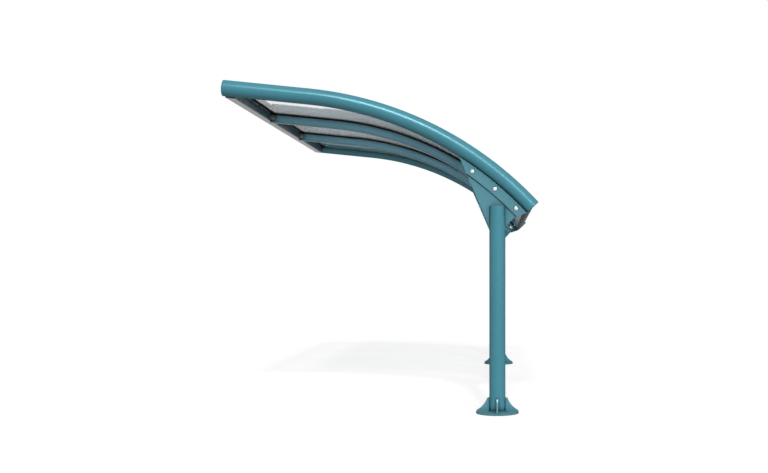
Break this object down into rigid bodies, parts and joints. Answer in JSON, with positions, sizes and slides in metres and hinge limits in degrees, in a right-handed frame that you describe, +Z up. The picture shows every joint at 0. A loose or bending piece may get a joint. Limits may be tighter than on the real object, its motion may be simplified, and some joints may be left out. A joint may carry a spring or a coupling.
{
  "type": "bike shelter",
  "caption": "Cantilever bike shelter: round posts on ribbed feet carry bent roof tubes, box rafters and a curved translucent roof, open at the front and sides.",
  "frame": {"origin": "middle of the underside of the near post's base plate, on the ground", "axes": "+Z up, -X towards the open front, +Y along the shelter from the near frame to the far frame"},
  "size_m": [1.9961, 3.27, 2.1005],
  "materials": {
    "powder_coat": "glossy teal powder coat on steel",
    "bright_metal": "satin bright metal",
    "roof_sheet": "clear smoke-grey glossy sheet"
  },
  "bodies": {
    "root": {"near_base_plate": "powder_coat", "far_base_plate": "powder_coat", "near_foot_ribs": "powder_coat", "far_foot_ribs": "powder_coat", "near_post": "powder_coat", "far_post": "powder_coat", "near_post_cap": "powder_coat", "far_post_cap": "powder_coat", "near_gusset_plate": "powder_coat", "far_gusset_plate": "powder_coat", "near_fin_plate": "powder_coat", "far_fin_plate": "powder_coat", "near_roof_tube": "powder_coat", "far_roof_tube": "powder_coat", "near_tube_caps": "powder_coat", "far_tube_caps": "powder_coat", "near_panel_ledge": "powder_coat", "far_panel_ledge": "powder_coat", "near_rafter": "powder_coat", "far_rafter": "powder_coat", "front_purlin": "powder_coat", "rear_purlin": "powder_coat", "front_end_plates": "powder_coat", "rear_end_plates": "powder_coat", "near_panel": "roof_sheet", "middle_panel": "roof_sheet", "far_panel": "roof_sheet", "near_edge_strip": "bright_metal", "far_edge_strip": "bright_metal", "near_joint_strip": "bright_metal", "far_joint_strip": "bright_metal", "front_edge_trim": "bright_metal", "rear_edge_trim": "bright_metal"}
  },
  "joints": []
}
